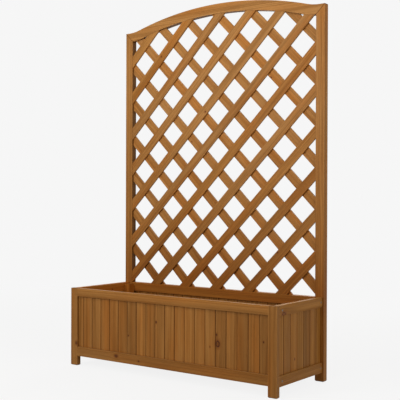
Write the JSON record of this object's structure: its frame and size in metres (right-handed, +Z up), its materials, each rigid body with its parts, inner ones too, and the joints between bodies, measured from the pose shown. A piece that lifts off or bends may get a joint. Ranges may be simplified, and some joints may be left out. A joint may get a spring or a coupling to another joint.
{
  "type": "floor planter with trellis",
  "caption": "Long wooden floor planter on plank legs, with a tall arched trellis of crossed diagonal slats at its back.",
  "frame": {"origin": "on the floor under the middle of the object's box", "axes": "+X to the right seen from the front, +Y towards the trellis at the back, +Z up"},
  "size_m": [1, 0.365, 1.4999],
  "materials": {
    "stained_wood": "satin brown stain",
    "zinc": "zinc plated"
  },
  "bodies": {
    "root": {"arch_rail": "stained_wood", "back_batten_left": "stained_wood", "back_batten_right": "stained_wood", "back_boards": "stained_wood", "back_bottom_rail": "stained_wood", "floor_cleat_back": "stained_wood", "floor_cleat_front": "stained_wood", "floor_slat_1": "stained_wood", "floor_slat_2": "stained_wood", "floor_slat_3": "stained_wood", "floor_slat_4": "stained_wood", "floor_slat_5": "stained_wood", "floor_slat_6": "stained_wood", "floor_slat_7": "stained_wood", "floor_slat_8": "stained_wood", "floor_slat_9": "stained_wood", "front_batten_left": "stained_wood", "front_batten_right": "stained_wood", "front_boards": "stained_wood", "front_bottom_rail": "stained_wood", "front_leg_left": "stained_wood", "front_leg_right": "stained_wood", "front_top_rail": "stained_wood", "lattice_back_01": "stained_wood", "lattice_back_02": "stained_wood", "lattice_back_03": "stained_wood", "lattice_back_04": "stained_wood", "lattice_back_05": "stained_wood", "lattice_back_06": "stained_wood", "lattice_back_07": "stained_wood", "lattice_back_08": "stained_wood", "lattice_back_09": "stained_wood", "lattice_back_10": "stained_wood", "lattice_back_11": "stained_wood", "lattice_back_12": "stained_wood", "lattice_front_01": "stained_wood", "lattice_front_02": "stained_wood", "lattice_front_03": "stained_wood", "lattice_front_04": "stained_wood", "lattice_front_05": "stained_wood", "lattice_front_06": "stained_wood", "lattice_front_07": "stained_wood", "lattice_front_08": "stained_wood", "lattice_front_09": "stained_wood", "lattice_front_10": "stained_wood", "lattice_front_11": "stained_wood", "lattice_front_12": "stained_wood", "left_boards": "stained_wood", "left_bottom_rail": "stained_wood", "left_top_rail": "stained_wood", "right_boards": "stained_wood", "right_bottom_rail": "stained_wood", "right_top_rail": "stained_wood", "rim_rail": "stained_wood", "side_rail_screws": "zinc", "trellis_post_left": "stained_wood", "trellis_post_right": "stained_wood"}
  },
  "joints": []
}
